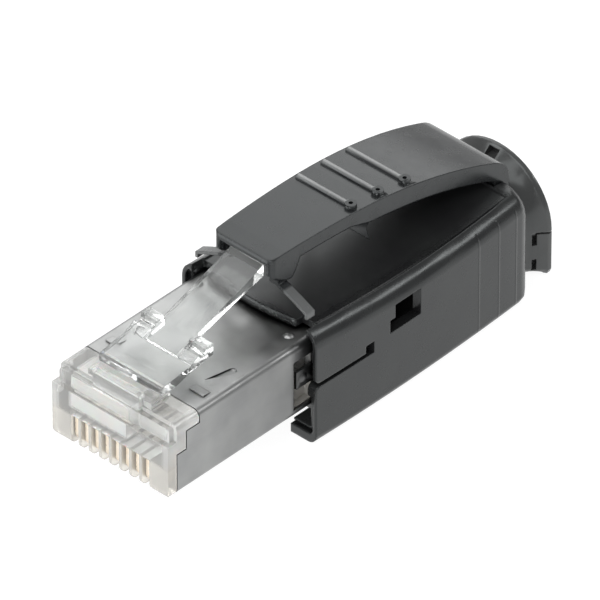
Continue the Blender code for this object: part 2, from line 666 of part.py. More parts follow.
def make_latch(material):
    """The latch: a wide sprung foot, two locking shoulders, and a thin tail that ends under the lever."""
    front = LATCH_FRONT
    rear = LATCH_FOOT_REAR
    foot_outline = (
        (front, up(ROOT_TOP + JOINT_GAP)),
        (front, up(foot_top(front) - LATCH_FOOT_THICKNESS / 4)),
        (front + LATCH_FOOT_THICKNESS / 4, up(foot_top(front))),
        (rear, up(foot_top(rear))),
        (rear, up(foot_top(rear) - LATCH_FOOT_THICKNESS)),
        (ROOT_REAR + LATCH_FOOT_THICKNESS, up(ROOT_TOP + JOINT_GAP)),
    )
    latch = add_object("latch", prism_x(foot_outline, -LATCH_HALF_WIDTH, LATCH_HALF_WIDTH), material)
    sunk_front = TAIL_FRONT - TAIL_FRONT_THICKNESS
    tail_outline = (
        (sunk_front, up(foot_top(sunk_front) - TAIL_FRONT_THICKNESS)),
        (TAIL_REAR, up(tail_top(TAIL_REAR) - TAIL_REAR_THICKNESS)),
        (TAIL_REAR, up(tail_top(TAIL_REAR))),
        (TAIL_FRONT, up(tail_top(TAIL_FRONT))),
        (sunk_front, up(foot_top(sunk_front) - TAIL_FRONT_THICKNESS / 4)),
    )
    tail = prism_x(tail_outline, -TAIL_HALF_WIDTH, TAIL_HALF_WIDTH)
    join(latch, add_object("latch_tail", tail))
    low = foot_top(SHOULDER_FRONT) - LATCH_FOOT_THICKNESS * 0.9
    step_top = foot_top(SHOULDER_STEP) + SHOULDER_RISE
    shoulder_outline = (
        (SHOULDER_FRONT, up(low)),
        (SHOULDER_FRONT, up(foot_top(SHOULDER_FRONT) - SLIDE_GAP)),
        (SHOULDER_STEP - SHOULDER_NOTCH, up(step_top)),
        (SHOULDER_STEP, up(step_top - SHOULDER_NOTCH)),
        (SHOULDER_STEP + SHOULDER_NOTCH, up(step_top - SHOULDER_NOTCH)),
        (SHOULDER_STEP + 1.5 * SHOULDER_NOTCH, up(step_top + SHOULDER_NOTCH)),
        (SHOULDER_REAR, up(step_top + SHOULDER_NOTCH)),
        (SHOULDER_REAR, up(low + SHOULDER_RISE)),
    )
    for side in (-1, 1):
        ends = sorted((side * (TAIL_HALF_WIDTH - SLIDE_GAP), side * (LATCH_HALF_WIDTH + SLIDE_GAP)))
        join(latch, add_object("locking_shoulder", prism_x(shoulder_outline, *ends)))
    hang_on_joint(latch, "latch_axis", LATCH_ROOT_Y, LATCH_ROOT_Z)
    return latch


def hood_share(y):
    """How far along the hood a place is, from 0 at its front to 1 at its shoulder."""
    return (y - HOOD_FRONT) / HOOD_LENGTH


def through(front, waist, rear, share):
    """A smooth curve through three values at the front, the middle and the rear."""
    return (
        front * (1 - share) * (1 - 2 * share)
        + waist * 4 * share * (1 - share)
        + rear * share * (2 * share - 1)
    )


def hood_half_width(y):
    return through(HOOD_FRONT_HALF_WIDTH, HOOD_WAIST_HALF_WIDTH, HOOD_REAR_HALF_WIDTH, hood_share(y))


def hood_top(y):
    return through(HOOD_FRONT_TOP, HOOD_WAIST_TOP, HOOD_REAR_TOP, hood_share(y))


def hood_ring(y, inset=0.0, floor=0.0):
    outline = rounded_box(
        hood_half_width(y) - inset,
        floor,
        hood_top(y) - inset,
        max(HOOD_BOTTOM_RADIUS - inset, HOOD_BOTTOM_RADIUS / 4),
        HOOD_TOP_RADIUS - inset,
    )
    return [at(x, y, z) for x, z in outline]


def stations(front, rear, count):
    return [front + (rear - front) * i / (count - 1) for i in range(count)]


def hood_shoulder_rings():
    """The hood's rear rounds in from its full section to the collar's throat."""
    steps = 4
    rings = []
    throat = COLLAR_THROAT_RADIUS + HOOD_WALL / 2
    for i in range(1, steps + 1):
        angle = math.pi / 2 * i / steps
        inwards = 1 - math.cos(angle)
        y = HOOD_REAR + SHOULDER_LENGTH * math.sin(angle)
        half_width = HOOD_REAR_HALF_WIDTH + (throat - HOOD_REAR_HALF_WIDTH) * inwards
        top = HOOD_REAR_TOP + (COLLAR_CENTRE + throat - HOOD_REAR_TOP) * inwards
        top_radius = HOOD_TOP_RADIUS + (throat * 0.96 - HOOD_TOP_RADIUS) * inwards
        bottom = HOOD_WALL / 2 * inwards
        outline = rounded_box(half_width, bottom, top, HOOD_BOTTOM_RADIUS, top_radius)
        rings.append([at(x, y, z) for x, z in outline])
    return rings


def roof_edge(reach):
    """What is taken off the bowed front edge of the roof to round it."""
    radius = ROOF_EDGE_RADIUS
    rings = []
    for x in stations(-reach, reach, 13):
        edge = HOOD_FRONT + ROOF_BOW * (x / reach) ** 2
        top = hood_top(edge) - ROOF_RECESS
        outline = [(edge - radius, top + radius), (edge - radius, top - radius)]
        outline += arc((edge + radius, top - radius), radius, 180, 90)
        outline += [(edge + radius, top + radius)]
        rings.append([at(x, y, z) for y, z in outline])
    return skin(rings)


def cut_roof(hood):
    """Sinks the roof a little below the walls, bows its front edge, and pockets it for the lever's feet."""
    above = HOOD_FRONT_TOP + CUT_MARGIN
    rings = []
    for y in stations(HOOD_FRONT - CUT_MARGIN, HOOD_REAR - HOOD_WALL / 2, 9):
        along = max(y, HOOD_FRONT)
        x = hood_half_width(along) - HOOD_CURL
        z = hood_top(along) - ROOF_RECESS
        rings.append([at(-x, y, z), at(x, y, z), at(x, y, above), at(-x, y, above)])
    cut(hood, add_object("roof_recess", skin(rings)))
    reach = hood_half_width(HOOD_FRONT) - HOOD_CURL
    bow = [(-reach, HOOD_FRONT - CUT_MARGIN), (reach, HOOD_FRONT - CUT_MARGIN)]
    bow += [(x, HOOD_FRONT + ROOF_BOW * (x / reach) ** 2) for x in stations(reach, -reach, 13)]
    cut(hood, add_object("roof_bow", prism_z(bow, up(PLUG_HEIGHT / 2), HOOD_FRONT_TOP + CUT_MARGIN)))
    cut(hood, add_object("roof_edge", roof_edge(reach)))
    for side in (-1, 1):
        ends = sorted((side * FOOT_POCKET_INNER, side * FOOT_POCKET_OUTER))
        pocket = box(
            (ends[0], HOOD_FRONT - CUT_MARGIN, up(PLUG_HEIGHT - NOSE_LIP_DEPTH)),
            (ends[1], HOOD_FRONT + FOOT_POCKET_LENGTH, HOOD_FRONT_TOP + CUT_MARGIN),
        )
        cut(hood, add_object("foot_pocket", pocket))


def cut_lever_seat(hood):
    """The seat that the lever's leg stands in, and the blind holes for its two pivots."""
    half_width = LEVER_REAR_HALF_WIDTH + JOINT_GAP
    front = LEVER_LEG_REAR - LEVER_LEG_THICKNESS - 2 * JOINT_GAP
    seat = box(
        (-half_width, front, up(LEVER_LEG_BOTTOM) - JOINT_GAP),
        (half_width, LEVER_LEG_REAR + CUT_MARGIN, HOOD_FRONT_TOP + CUT_MARGIN),
    )
    cut(hood, add_object("lever_seat", seat))
    reach = LEVER_REAR_HALF_WIDTH + PIVOT_REACH + JOINT_GAP
    hole = cylinder_x((PIVOT_Y, up(PIVOT_Z)), PIVOT_RADIUS + JOINT_GAP, -reach, reach, 16)
    cut(hood, add_object("pivot_bearing", hole))


def cut_rail_grooves(hood):
    """A narrow groove in each lower front corner that parts the thin outer skin from the guide rail."""
    outer = HOOD_FRONT_HALF_WIDTH - RAIL_SKIN
    inner = outer - RAIL_GROOVE
    low = HOOD_FLOOR - RAIL_SKIN
    depth = HOOD_FRONT + RAIL_GROOVE_DEPTH
    bend = HOOD_BOTTOM_RADIUS - RAIL_SKIN
    centre = (outer - bend, low + bend)
    start = FLOOR_SLOT_HALF_WIDTH - CUT_MARGIN
    for side in (-1, 1):
        outline = [(start, low)] + arc(centre, bend, -90, 0) + [(outer, RAIL_TOP), (inner, RAIL_TOP)]
        outline += arc(centre, bend - RAIL_GROOVE, 0, -90) + [(start, low + RAIL_GROOVE)]
        groove = prism_y([(side * x, z) for x, z in outline], HOOD_FRONT - CUT_MARGIN, depth)
        cut(hood, add_object("rail_groove", groove))
        outline = [(start, low + RAIL_GROOVE / 2)] + arc(centre, bend - RAIL_GROOVE / 2, -90, 0)
        outline += [(outer - RAIL_GROOVE / 2, RAIL_TOP), (start, RAIL_TOP)]
        outline = [(side * x, z) for x, z in outline]
        setback = prism_y(outline, HOOD_FRONT - CUT_MARGIN, HOOD_FRONT + RAIL_SETBACK)
        cut(hood, add_object("rail_setback", setback))


def cut_upper_lips(hood):
    """Thins the front edge of both upper walls to a skin that bends in with the roof's corner."""
    outer = HOOD_FRONT_HALF_WIDTH - RAIL_SKIN
    centre = (HOOD_FRONT_HALF_WIDTH - HOOD_TOP_RADIUS, HOOD_FRONT_TOP - HOOD_TOP_RADIUS)
    outline = [(centre[0], SIDE_SLIT_HEIGHT), (outer, SIDE_SLIT_HEIGHT)]
    outline += arc(centre, HOOD_TOP_RADIUS - RAIL_SKIN, 0, 50)
    outline += [(centre[0], HOOD_FRONT_TOP - ROOF_RECESS - HOOD_ROOF - RAIL_SKIN)]
    for side in (-1, 1):
        lip = prism_y([(side * x, z) for x, z in outline], HOOD_FRONT - CUT_MARGIN, HOOD_FRONT + LIP_DEPTH)
        cut(hood, add_object("upper_lip", lip))


def cut_side_openings(hood):
    """The jaw slit with its square end, and the stepped catch window, through both walls."""
    reach = HOOD_WAIST_HALF_WIDTH + CUT_MARGIN
    slit_top = SIDE_SLIT_HEIGHT + SIDE_SLIT_WIDTH
    mouth = HOOD_FRONT + JAW_CORNER
    lower_corner = arc((mouth, SIDE_SLIT_HEIGHT - JAW_CORNER), JAW_CORNER, 180, 90, 4)
    upper_corner = arc((mouth, slit_top + JAW_CORNER), JAW_CORNER, 270, 180, 4)
    slit_outline = (
        (HOOD_FRONT - CUT_MARGIN, SIDE_SLIT_HEIGHT - JAW_CORNER),
        *lower_corner,
        (SIDE_SLIT_REAR, SIDE_SLIT_HEIGHT),
        (SIDE_SLIT_REAR, SIDE_SLIT_HEIGHT + SLIT_END_HEIGHT),
        (SIDE_SLIT_REAR - SLIT_END_LENGTH, SIDE_SLIT_HEIGHT + SLIT_END_HEIGHT),
        (SIDE_SLIT_REAR - SLIT_END_LENGTH, slit_top),
        *upper_corner,
        (HOOD_FRONT - CUT_MARGIN, slit_top + JAW_CORNER),
    )
    cut(hood, add_object("jaw_slit", prism_x(slit_outline, -reach, reach)))
    window_outline = (
        (WINDOW_FRONT - WINDOW_STEP_LENGTH, WINDOW_BOTTOM),
        (WINDOW_FRONT + WINDOW_LENGTH, WINDOW_BOTTOM),
        (WINDOW_FRONT + WINDOW_LENGTH, WINDOW_BOTTOM + WINDOW_HEIGHT),
        (WINDOW_FRONT, WINDOW_BOTTOM + WINDOW_HEIGHT),
        (WINDOW_FRONT, WINDOW_BOTTOM + WINDOW_STEP_HEIGHT),
        (WINDOW_FRONT - WINDOW_STEP_LENGTH, WINDOW_BOTTOM + WINDOW_STEP_HEIGHT),
    )
    cut(hood, add_object("catch_window", prism_x(window_outline, -reach, reach)))


def hollow_ring(y, front=0.0):
    """The hood's inside: parallel to its walls, and a roof's thickness below its sunken top."""
    inner = hood_half_width(y) - HOOD_WALL
    top = hood_top(y) - ROOF_RECESS - HOOD_ROOF
    outline = rounded_box(inner, HOOD_FLOOR, top, HOOD_BOTTOM_RADIUS / 4, HOOD_TOP_RADIUS - HOOD_WALL)
    return [at(x, y - front, z) for x, z in outline]


def make_hood(material):
    """The moulded hood: a thin shell with a roof, slotted below, that closes to a round shoulder."""
    outer = [hood_ring(y) for y in stations(HOOD_FRONT, HOOD_REAR, 12)]
    hood = add_object("hood", skin(outer + hood_shoulder_rings()), material)
    inner = [hollow_ring(HOOD_FRONT, CUT_MARGIN)]
    inner += [hollow_ring(y) for y in stations(HOOD_FRONT, HOOD_REAR - HOOD_WALL, 12)]
    cut(hood, add_object("hood_hollow", skin(inner)))
    ledge_top = up(0.0) - SLIDE_GAP
    inside = HOOD_FRONT_HALF_WIDTH - HOOD_WALL
    for side in (-1, 1):
        ends = sorted((side * (inside - LEDGE_WIDTH), side * (inside + HOOD_WALL / 2)))
        ledge = box(
            (ends[0], LEDGE_FRONT, ledge_top - LEDGE_HEIGHT),
            (ends[1], LEDGE_FRONT + LEDGE_LENGTH, ledge_top),
        )
        join(hood, add_object("plug_ledge", ledge))
    cut_roof(hood)
    cut_lever_seat(hood)
    floor_slot = box(
        (-FLOOR_SLOT_HALF_WIDTH, HOOD_FRONT - CUT_MARGIN, -CUT_MARGIN),
        (FLOOR_SLOT_HALF_WIDTH, SIDE_SLIT_REAR, HOOD_FLOOR + SLIDE_GAP),
    )
    cut(hood, add_object("floor_slot", floor_slot))
    cut_rail_grooves(hood)
    cut_upper_lips(hood)
    cut_side_openings(hood)
    socket = cylinder_y(
        (0.0, COLLAR_CENTRE),
        SPIGOT_RADIUS + SEAT_GAP,
        HOOD_REAR - HOOD_WALL - CUT_MARGIN,
        HOOD_REAR + SHOULDER_LENGTH + CUT_MARGIN,
    )
    cut(hood, add_object("collar_socket", socket))
    return hood


def crown_height(y):
    """The height of the lever's crown: highest near the front, and falling ever faster to the heel."""
    ahead = max(LEVER_CREST - (y - LEVER_FRONT), 0.0) / LEVER_CREST
    behind = max(y - LEVER_FRONT - LEVER_CREST, 0.0) / LEVER_FALL_LENGTH
    return up(LEVER_TOP - LEVER_DROOP * ahead**2 - LEVER_FALL * behind**LEVER_FALL_POWER)


def lever_depth(y):
    """How thick the bow is: thin over the latch, and thicker behind a short step."""
    share = (y - LEVER_FRONT - LEVER_THIN_LENGTH) / LEVER_STEP_LENGTH
    return LEVER_THIN + (LEVER_THICK - LEVER_THIN) * min(max(share, 0.0), 1.0)


def heel_curve(steps=6):
    """The rounded heel, from the crown's end down to the leg's rear face."""
    start = (LEVER_LEG_REAR - HEEL_LENGTH, crown_height(LEVER_LEG_REAR - HEEL_LENGTH))
    slope = LEVER_FALL_POWER * LEVER_FALL / LEVER_FALL_LENGTH
    middle = (LEVER_LEG_REAR, start[1] - slope * HEEL_LENGTH)
    end = (LEVER_LEG_REAR, start[1] - HEEL_HEIGHT)
    points = []
    for i in range(1, steps + 1):
        t = i / steps
        weights = ((1 - t) ** 2, 2 * t * (1 - t), t**2)
        points.append(tuple(sum(w * p[k] for w, p in zip(weights, (start, middle, end))) for k in (0, 1)))
    return points


def lever_profile():
    """The side outline of the bow, as (y, z) points: its crown, its hooked leg and its underside."""
    crown = [(y, crown_height(y)) for y in stations(LEVER_FRONT, LEVER_LEG_REAR - HEEL_LENGTH, 16)]
    leg_front = LEVER_LEG_REAR - LEVER_LEG_THICKNESS
    bottom = up(LEVER_LEG_BOTTOM)
    leg = [
        (LEVER_LEG_REAR, bottom + LEVER_LEG_CORNER),
        (LEVER_LEG_REAR - LEVER_LEG_CORNER, bottom),
        (leg_front + LEVER_LEG_CORNER, bottom),
        (leg_front, bottom + LEVER_LEG_CORNER),
        (leg_front, up(CROOK_HEIGHT)),
    ]
    thick_front = LEVER_FRONT + LEVER_THIN_LENGTH + LEVER_STEP_LENGTH
    lip_rear = LEVER_FRONT + LEVER_LIP_DEPTH
    under = stations(leg_front - LEVER_LEG_THICKNESS / 2, thick_front, 9)
    under += stations(LEVER_FRONT + LEVER_THIN_LENGTH, lip_rear, 5)
    underside = [(y, crown_height(y) - lever_depth(y)) for y in under]
    lip_bottom = crown_height(LEVER_FRONT) - LEVER_LIP_HEIGHT
    radius = LEVER_LIP_HEIGHT / 3
    lip = [(lip_rear, lip_bottom)]
    lip += arc((LEVER_FRONT + radius, lip_bottom + radius), radius, 270, 180, 4)
    return crown + heel_curve() + leg + underside + lip


def lever_half_width(y):
    share = (y - LEVER_FRONT) / (LEVER_LEG_REAR - LEVER_FRONT)
    return LEVER_FRONT_HALF_WIDTH + (LEVER_REAR_HALF_WIDTH - LEVER_FRONT_HALF_WIDTH) * share


def tapered_slab(outline):
    """An outline of (y, z) points drawn out to both sides as far as the lever is wide at each place."""
    return skin([[at(side * lever_half_width(y), y, z) for y, z in outline] for side in (-1, 1)])


def side_plate(outline, side, inset, thickness):
    """An outline of (y, z) points as a plate that follows one side of the lever."""
    return skin([
        [at(side * (lever_half_width(y) - inset - depth), y, z) for y, z in outline]
        for depth in (0.0, thickness)
    ])


def add_lever_ears(lever):
    """Ears that deepen both sides at the front: lowest towards their rear, and rounded up behind."""
    top = crown_height(LEVER_FRONT) - LEVER_THIN / 2
    drop = EAR_DEPTH - LEVER_THIN / 2
    shape = (
        (0.0, 0.0), (0.0, 0.38), (0.03, 0.5), (0.08, 0.585), (0.18, 0.69), (0.3, 0.79), (0.5, 0.94),
        (0.62, 0.99), (0.7, 1.0), (0.76, 0.94), (0.83, 0.79), (0.9, 0.6), (0.97, 0.38), (1.0, 0.2),
        (1.0, 0.0),
    )
    outline = [(LEVER_FRONT + share * EAR_LENGTH, top - down * drop) for share, down in shape]
    for side in (-1, 1):
        join(lever, add_object("lever_ear", side_plate(outline, side, 0.0, EAR_THICKNESS)))


def wing_height(x):
    """The top of the wing leaf, which falls a little faster the further out it reaches."""
    share = x / WING_REACH
    return up(WING_TOP) - WING_FALL * ((1 - WING_BEND) * share + WING_BEND * share**2)


def add_lever_wings(lever):
    """A thin bowed leaf on each side that reaches out from a web by the ear, down to a foot on the hood."""
    rear = WING_FRONT + WING_DEPTH
    outer = LEVER_FRONT_HALF_WIDTH - WEB_INSET
    root = outer - WEB_WIDTH
    inner = WING_REACH - WING_THICKNESS
    over = [(x, wing_height(x)) for x in stations(root, WING_REACH, 10)]
    under = [(WING_REACH, up(FOOT_BOTTOM)), (inner, up(FOOT_BOTTOM))]
    under += [(x, wing_height(x) - WING_THICKNESS) for x in stations(inner, root, 10)]
    for side in (-1, 1):
        leaf = prism_y([(side * x, z) for x, z in over + under], WING_FRONT, rear)
        join(lever, add_object("lever_wing", leaf))
        ends = sorted((side * root, side * outer))
        web = box(
            (ends[0], WING_FRONT, wing_height(outer) - WING_THICKNESS / 2),
            (ends[1], rear, crown_height(WING_FRONT) - LEVER_THIN / 2),
        )
        join(lever, add_object("wing_web", web))


def add_lever_ribs(lever):
    """Half-round grip ribs on the crown that end in ring knobs, and a pointed barb under each side."""
    turn = 360 - 360 / ROUND_STEPS
    for i in range(GRIP_RIB_COUNT):
        y = LEVER_FRONT + GRIP_RIB_FIRST + i * GRIP_RIB_PITCH
        knob_x = lever_half_width(y) - GRIP_KNOB_INSET
        rib = cylinder_x(
            (y, crown_height(y)), GRIP_RIB_RADIUS, GRIP_RIB_RADIUS - lever_half_width(y), knob_x, 12
        )
        join(lever, add_object("grip_rib", rib))
        top = crown_height(y) + GRIP_KNOB_HEIGHT
        ring = arc((knob_x, y), GRIP_KNOB_RADIUS, 0, turn, ROUND_STEPS - 1)
        join(lever, add_object("grip_knob", prism_z(ring, top - 2 * GRIP_KNOB_HEIGHT, top)))
        hole = arc((knob_x, y), GRIP_KNOB_HOLE, 0, turn, ROUND_STEPS - 1)
        cut(lever, add_object("knob_hole", prism_z(hole, top - GRIP_KNOB_HEIGHT, top + CUT_MARGIN)))
    root = LEVER_FRONT + BARB_FRONT
    tip = root + BARB_LENGTH
    outline = (
        (root, crown_height(root) - LEVER_THIN * 0.8),
        (tip, crown_height(tip) - BARB_DROP),
        (tip - BARB_LENGTH / 7, crown_height(tip) - BARB_DROP * 0.65),
        (tip, crown_height(tip) - LEVER_THICK * 0.8),
        (root + BARB_LENGTH / 2, crown_height(root) - LEVER_THIN / 2),
    )
    for side in (-1, 1):
        barb = side_plate(outline, side, BARB_INSET, BARB_THICKNESS)
        join(lever, add_object("lever_barb", barb))


def round_lever_corners(lever):
    """Rounds both front corners of the lever, seen from above."""
    radius = LEVER_CORNER
    for side in (-1, 1):
        x = LEVER_FRONT_HALF_WIDTH - radius
        outline = [(x, LEVER_FRONT - radius)]
        outline += arc((x, LEVER_FRONT + radius), radius, -90, 0)
        outline += [(x + 2 * radius, LEVER_FRONT + radius), (x + 2 * radius, LEVER_FRONT - radius)]
        corner = prism_z([(side * px, y) for px, y in outline], up(PLUG_HEIGHT), up(LEVER_TOP) + CUT_MARGIN)
        cut(lever, add_object("lever_corner", corner))


def make_lever(material):
    """The press lever: a bow with a hooked leg that turns on two short pivots at the hood's rear."""
    lever = add_object("press_lever", tapered_slab(lever_profile()), material)
    add_lever_ears(lever)
    add_lever_wings(lever)
    add_lever_ribs(lever)
    round_lever_corners(lever)
    reach = LEVER_REAR_HALF_WIDTH + PIVOT_REACH
    pivot = cylinder_x((PIVOT_Y, up(PIVOT_Z)), PIVOT_RADIUS, -reach, reach, 16)
    join(lever, add_object("lever_pivot", pivot))
    hang_on_joint(lever, "lever_axis", PIVOT_Y, PIVOT_Z)
    return lever


def collar_outline(radius, bottom):
    """A round top on straight sides, with a flat foot and small corners."""
    corner = COLLAR_FOOT_CORNER
    points = arc((radius - corner, bottom + corner), corner, -90, 0, 2)
    points += arc((0.0, COLLAR_CENTRE), radius, 0, 180, 24)
    points += arc((-radius + corner, bottom + corner), corner, 180, 270, 2)
    return points


def cut_collar_details(collar):
    """The parting line across both sides of the rim, and three notches in the face that looks forward."""
    rim_front = COLLAR_REAR - COLLAR_RIM_THICKNESS
    outside = COLLAR_RIM_RADIUS + CUT_MARGIN
    notch_inner = COLLAR_THROAT_RADIUS + NOTCH_DEPTH
    notch_front = rim_front - 2 * NOTCH_DEPTH
    notch_rear = rim_front + NOTCH_DEPTH / 3
    for side in (-1, 1):
        ends = sorted((side * notch_inner, side * outside))
        line = box(
            (ends[0], notch_front, PARTING_HEIGHT),
            (ends[1], COLLAR_REAR + CUT_MARGIN, PARTING_HEIGHT + PARTING_WIDTH),
        )
        cut(collar, add_object("parting_line", line))
        ends = sorted((side * (COLLAR_THROAT_RADIUS + SLIDE_GAP / 2), side * (notch_inner + SLIDE_GAP)))
        for name, top in (("side_notch", PARTING_HEIGHT), ("foot_notch", PARTING_HEIGHT - NOTCH_DROP)):
            notch = box(
                (ends[0], notch_front, top - NOTCH_WIDTH),
                (ends[1], notch_rear, top),
            )
            cut(collar, add_object(name, notch))
    crown = COLLAR_CENTRE + notch_inner
    top_notch = box(
        (-NOTCH_WIDTH / 2, notch_front, crown - NOTCH_DEPTH / 2),
        (NOTCH_WIDTH / 2, notch_rear, crown + NOTCH_DEPTH),
    )
    cut(collar, add_object("top_notch", top_notch))


def make_collar(material):
    """The bell-mouthed collar: a throat against the hood, a thin arched rim and a spigot in the hood."""
    front = HOOD_REAR + SHOULDER_LENGTH + SEAT_GAP
    rim_front = COLLAR_REAR - COLLAR_RIM_THICKNESS
    flare = rim_front - front
    edge = COLLAR_RIM_THICKNESS / 6
    throat, rim = COLLAR_THROAT_RADIUS, COLLAR_RIM_RADIUS
    foot = HOOD_WALL / 2
    shape = []
    for share in stations(0.0, 1.0, 9):
        spread = share**FLARE_POWER
        radius = throat + (rim - edge - throat) * spread
        shape.append((front + flare * share, radius, foot + (edge - foot) * spread))
    shape += [
        (rim_front + edge, rim, 0.0),
        (COLLAR_REAR - edge, rim, 0.0),
        (COLLAR_REAR, rim - edge, edge),
    ]
    rings = [[at(x, y, z) for x, z in collar_outline(radius, bottom)] for y, radius, bottom in shape]
    collar = add_object("cable_collar", skin(rings), material)
    spigot_front = front - SPIGOT_LENGTH - SEAT_GAP
    spigot = cylinder_y((0.0, COLLAR_CENTRE), SPIGOT_RADIUS, spigot_front, front + flare / 2)
    join(collar, add_object("collar_spigot", spigot))
    turn = 360 - 360 / ROUND_STEPS
    bore_shape = (
        (spigot_front - CUT_MARGIN, COLLAR_BORE_RADIUS),
        (front + flare / 2, COLLAR_BORE_RADIUS),
        (rim_front, COLLAR_BORE_RADIUS + (COLLAR_MOUTH_RADIUS - COLLAR_BORE_RADIUS) * 0.35),
        (COLLAR_REAR, COLLAR_MOUTH_RADIUS),
        (COLLAR_REAR + CUT_MARGIN, COLLAR_MOUTH_RADIUS + CUT_MARGIN / 4),
    )
    bore = skin([
        [at(x, y, z) for x, z in arc((0.0, COLLAR_CENTRE), radius, 0, turn, ROUND_STEPS - 1)]
        for y, radius in bore_shape
    ])
    cut(collar, add_object("cable_bore", bore))
    cut_collar_details(collar)
    return collar


def main():
    clear_scene()
    clear_plastic = make_material("clear_plastic", (0.9, 0.92, 0.92), 0.06, transmission=0.9)
    milky_plastic = make_material("milky_plastic", (0.86, 0.86, 0.83), 0.4)
    gold = make_material("contact_gold", (0.83, 0.66, 0.36), 0.25, metallic=1.0)
    nickel = make_material("shield_nickel", (0.62, 0.62, 0.61), 0.3, metallic=1.0)
    black_plastic = make_material("hood_plastic", (0.045, 0.047, 0.048), 0.4)
    make_plug_housing(clear_plastic)
    make_load_bar(milky_plastic)
    make_contacts(gold)
    make_shield(nickel)
    make_crimp_ferrule(nickel)
    make_latch(clear_plastic)
    make_hood(black_plastic)
    make_lever(black_plastic)
    make_collar(black_plastic)


main()
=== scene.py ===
"""Looks of the shielded ethernet plug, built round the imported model. Lengths are in metres, +Z is up."""

import math

import bmesh
import bpy
from mathutils import Matrix, Vector


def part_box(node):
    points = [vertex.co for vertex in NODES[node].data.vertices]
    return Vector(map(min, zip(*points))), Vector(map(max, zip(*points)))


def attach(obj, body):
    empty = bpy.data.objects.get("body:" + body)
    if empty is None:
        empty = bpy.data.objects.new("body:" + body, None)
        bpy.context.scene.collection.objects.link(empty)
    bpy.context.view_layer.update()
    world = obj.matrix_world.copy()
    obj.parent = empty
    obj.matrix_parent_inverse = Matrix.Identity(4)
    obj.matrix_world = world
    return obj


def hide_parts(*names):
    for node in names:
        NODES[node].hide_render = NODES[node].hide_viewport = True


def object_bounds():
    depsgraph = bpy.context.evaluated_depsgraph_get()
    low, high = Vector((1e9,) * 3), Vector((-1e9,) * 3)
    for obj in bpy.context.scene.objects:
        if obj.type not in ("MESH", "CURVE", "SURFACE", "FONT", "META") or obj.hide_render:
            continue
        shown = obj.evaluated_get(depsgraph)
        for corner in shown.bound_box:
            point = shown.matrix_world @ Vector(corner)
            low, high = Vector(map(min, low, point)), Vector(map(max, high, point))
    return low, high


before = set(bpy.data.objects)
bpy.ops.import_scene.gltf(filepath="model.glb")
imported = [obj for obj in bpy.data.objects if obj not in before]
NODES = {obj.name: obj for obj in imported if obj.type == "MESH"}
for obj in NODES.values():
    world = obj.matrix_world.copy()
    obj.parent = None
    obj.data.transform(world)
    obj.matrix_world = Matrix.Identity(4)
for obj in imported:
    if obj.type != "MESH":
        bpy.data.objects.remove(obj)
cad_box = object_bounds()

MM = 0.001
BODY_OF = {"press_lever": "lever", "latch": "latch_arm"}
CONTACT_COUNT = 8

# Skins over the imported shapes: how near points join, how flat faces merge, how sharp an edge stays crisp
WELD = 0.002 * MM
FLAT = math.radians(0.2)
CREASE = math.radians(34)

# Rounding of the clear pieces' edges, in their meshes
NOSE_BEVEL = 0.10 * MM
LATCH_BEVEL = 0.07 * MM
BEVEL_SEGMENTS = 2

# Samples of the shaded rounding and of the shaded crevices
ROUNDING_SAMPLES = 12
CREVICE_SAMPLES = 8

# The middle of a noise's range, where most of it lies
NOISE_LOW = 0.3
NOISE_HIGH = 0.7

# The plug's own drawing frame: lengths from the nose's face, heights from the plug's underside
NOSE_Y = -21.0 * MM
PLUG_LIFT = 2.85 * MM

# A band is a pair, from where a change on the surface starts to where it is complete

# The lever: half widths at its two ends, and the shaded rounding of its sides, its top and its lip
LEVER_FRONT_HALF_WIDTH = 2.87 * MM
LEVER_REAR_HALF_WIDTH = 3.72 * MM
LEVER_SIDE_ROUNDING = 0.15 * MM
LEVER_TOP_ROUNDING = 0.015 * MM
LEVER_SIDE_BAND = (0.12 * MM, 0.30 * MM)
LIP_ROUNDING = 0.28 * MM
LIP_BAND = (0.6 * MM, 1.1 * MM)

# The lever's grip ribs, counted from its front, and the pale grey painted on them as a highlight and on the
# wings as a sheen
RIB_COUNT = 3
RIB_FIRST = 9.0 * MM
RIB_PITCH = 2.8 * MM
RIB_RADIUS = 0.3 * MM
RIB_CREST_BAND = (0.3 * RIB_RADIUS, 0.9 * RIB_RADIUS)
RIB_END_BAND = (RIB_RADIUS, RIB_RADIUS + 0.1 * MM)
KNOB_INSET = 0.75 * MM
KNOB_BAND = (KNOB_INSET + 0.35 * MM, KNOB_INSET + 0.5 * MM)
WING_SHEEN = 0.40
WING_BAND = (-0.5 * MM, -0.3 * MM)
HIGHLIGHT_GREY = (0.25, 0.255, 0.255)

# The hood: the shaded rounding of its front and of its other edges, its duller roof, its faint side lines
HOOD_FRONT_ROUNDING = 0.24 * MM
HOOD_ROUNDING = 0.10 * MM
HOOD_FRONT_BAND = (0.3 * MM, 0.8 * MM)
ROOF_HALF_WIDTH = 4.6 * MM
ROOF_SIDE_BAND = (ROOF_HALF_WIDTH, ROOF_HALF_WIDTH + 0.5 * MM)
ROOF_FRONT_BAND = (0.5 * MM, 1.2 * MM)
ROOF_DULLING = 0.12
SIDE_LINES = (11.5 * MM, 13.8 * MM, 15.8 * MM)
SIDE_LINE_REACH = 0.12 * MM
SIDE_LINE_HEIGHT = 0.022 * MM
HOOD_SIDE_BAND = (6.2 * MM, 6.3 * MM)
